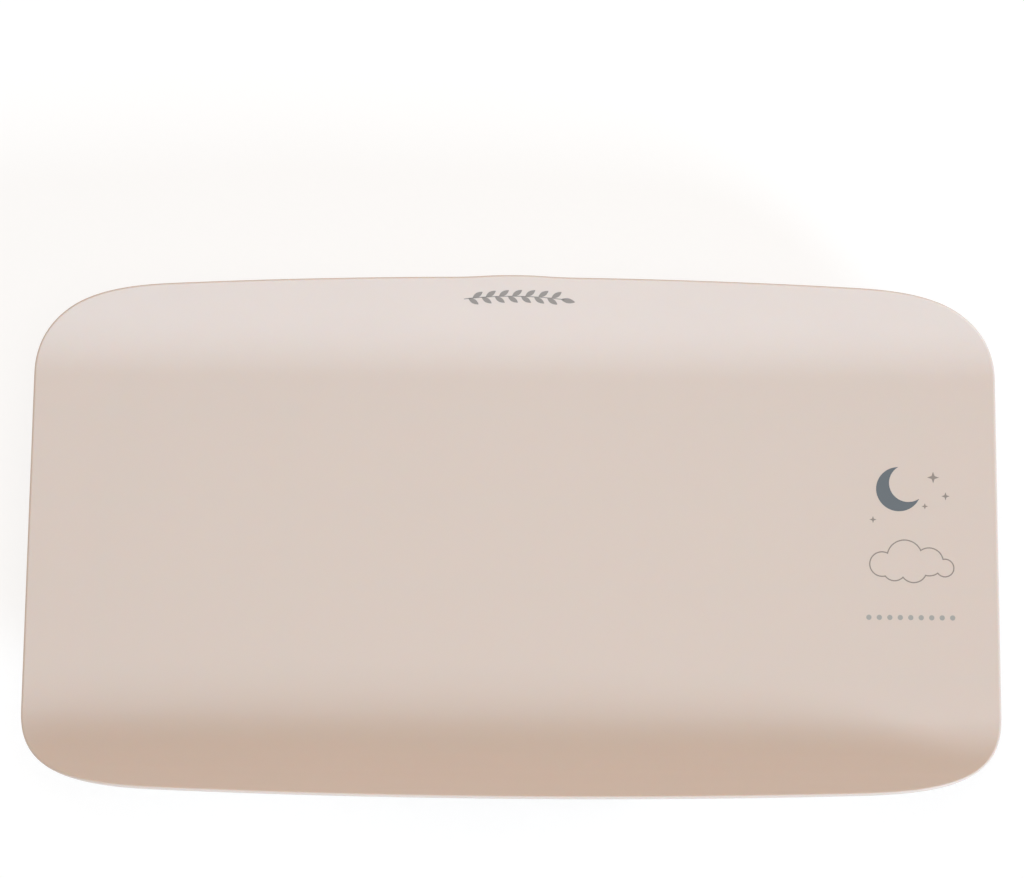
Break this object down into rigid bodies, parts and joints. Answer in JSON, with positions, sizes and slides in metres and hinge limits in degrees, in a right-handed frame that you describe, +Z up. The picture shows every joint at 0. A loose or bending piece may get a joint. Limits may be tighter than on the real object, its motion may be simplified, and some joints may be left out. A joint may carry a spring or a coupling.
{
  "type": "digital baby scale",
  "caption": "Low table scale with a long moulded trough tray for a lying baby, on a tub with load-sensing feet, a display and push buttons.",
  "frame": {"origin": "on the table, under the middle of the tray", "axes": "+X along the tray, to the right of someone who faces the console; the console is at -Y; +Z up"},
  "size_m": [0.56, 0.3008, 0.0849],
  "materials": {
    "tray_plastic": "fine satin",
    "base_plastic": "fine satin",
    "screw_steel": "zinc plated",
    "gauge_film": "film with a foil grid",
    "panel_plastic": "satin",
    "window_acrylic": "clear, polished",
    "lcd_glass": "grey-green liquid-crystal display",
    "frame_plastic": "plain",
    "zebra_rubber": "striped",
    "light_guide": "frosted",
    "button_plastic": "satin",
    "circuit_board": "solder resist",
    "switch_plastic": "plain",
    "chip_plastic": "plain",
    "connector_plastic": "plain",
    "battery_sleeve": "printed sleeve",
    "contact_metal": "nickel plated",
    "lead_sheath": "soft",
    "foot_plastic": "satin",
    "pad_rubber": "soft",
    "cell_steel": "brushed"
  },
  "bodies": {
    "housing": {"weighing_tray": "tray_plastic", "base_tub": "base_plastic", "tray_screws": "screw_steel", "strain_gauges": "gauge_film", "console_panel": "panel_plastic", "display_window": "window_acrylic", "lcd_glass": "lcd_glass", "lcd_frame": "frame_plastic", "zebra_strips": "zebra_rubber", "backlight_plate": "light_guide", "main_board": "circuit_board", "tact_switches": "switch_plastic", "board_screws": "screw_steel", "board_chips": "chip_plastic", "lead_connectors": "connector_plastic", "battery_cell_1": "battery_sleeve", "battery_cell_2": "battery_sleeve", "battery_cell_3": "battery_sleeve", "battery_contacts": "contact_metal", "battery_lead": "lead_sheath", "load_cell_rear_right": "cell_steel", "cell_lead_rear_right": "lead_sheath", "load_cell_rear_left": "cell_steel", "cell_lead_rear_left": "lead_sheath", "load_cell_front_left": "cell_steel", "cell_lead_front_left": "lead_sheath", "load_cell_front_right": "cell_steel", "cell_lead_front_right": "lead_sheath"},
    "foot_rear_right": {"foot_cup_rear_right": "foot_plastic", "foot_pad_rear_right": "pad_rubber"},
    "foot_rear_left": {"foot_cup_rear_left": "foot_plastic", "foot_pad_rear_left": "pad_rubber"},
    "foot_front_left": {"foot_cup_front_left": "foot_plastic", "foot_pad_front_left": "pad_rubber"},
    "foot_front_right": {"foot_cup_front_right": "foot_plastic", "foot_pad_front_right": "pad_rubber"},
    "power_button": {"power_button": "button_plastic"},
    "tare_button": {"tare_button": "button_plastic"},
    "unit_button": {"unit_button": "button_plastic"},
    "battery_door": {"battery_door": "base_plastic"}
  },
  "joints": [
    {"name": "foot_rear_right_press", "type": "slide", "parent": "housing", "child": "foot_rear_right", "axis": [0, 0, 1], "range_m": [0, 0.0005], "stiffness_N_per_m": 2000, "springref_m": -0.0017},
    {"name": "foot_rear_left_press", "type": "slide", "parent": "housing", "child": "foot_rear_left", "axis": [0, 0, 1], "range_m": [0, 0.0005], "stiffness_N_per_m": 2000, "springref_m": -0.0017},
    {"name": "foot_front_left_press", "type": "slide", "parent": "housing", "child": "foot_front_left", "axis": [0, 0, 1], "range_m": [0, 0.0005], "stiffness_N_per_m": 2000, "springref_m": -0.0017},
    {"name": "foot_front_right_press", "type": "slide", "parent": "housing", "child": "foot_front_right", "axis": [0, 0, 1], "range_m": [0, 0.0005], "stiffness_N_per_m": 2000, "springref_m": -0.0017},
    {"name": "power_button_press", "type": "slide", "parent": "housing", "child": "power_button", "axis": [0, 0.9397, -0.342], "range_m": [0, 0.0005], "stiffness_N_per_m": 4000},
    {"name": "tare_button_press", "type": "slide", "parent": "housing", "child": "tare_button", "axis": [0, 0.9397, -0.342], "range_m": [0, 0.0005], "stiffness_N_per_m": 4000},
    {"name": "unit_button_press", "type": "slide", "parent": "housing", "child": "unit_button", "axis": [0, 0.9397, -0.342], "range_m": [0, 0.0005], "stiffness_N_per_m": 4000},
    {"name": "battery_door_hinge", "type": "hinge", "parent": "housing", "child": "battery_door", "pos_m": [0, 0.0501, 0.0075], "axis": [1, 0, 0], "range_deg": [0, 90]}
  ]
}
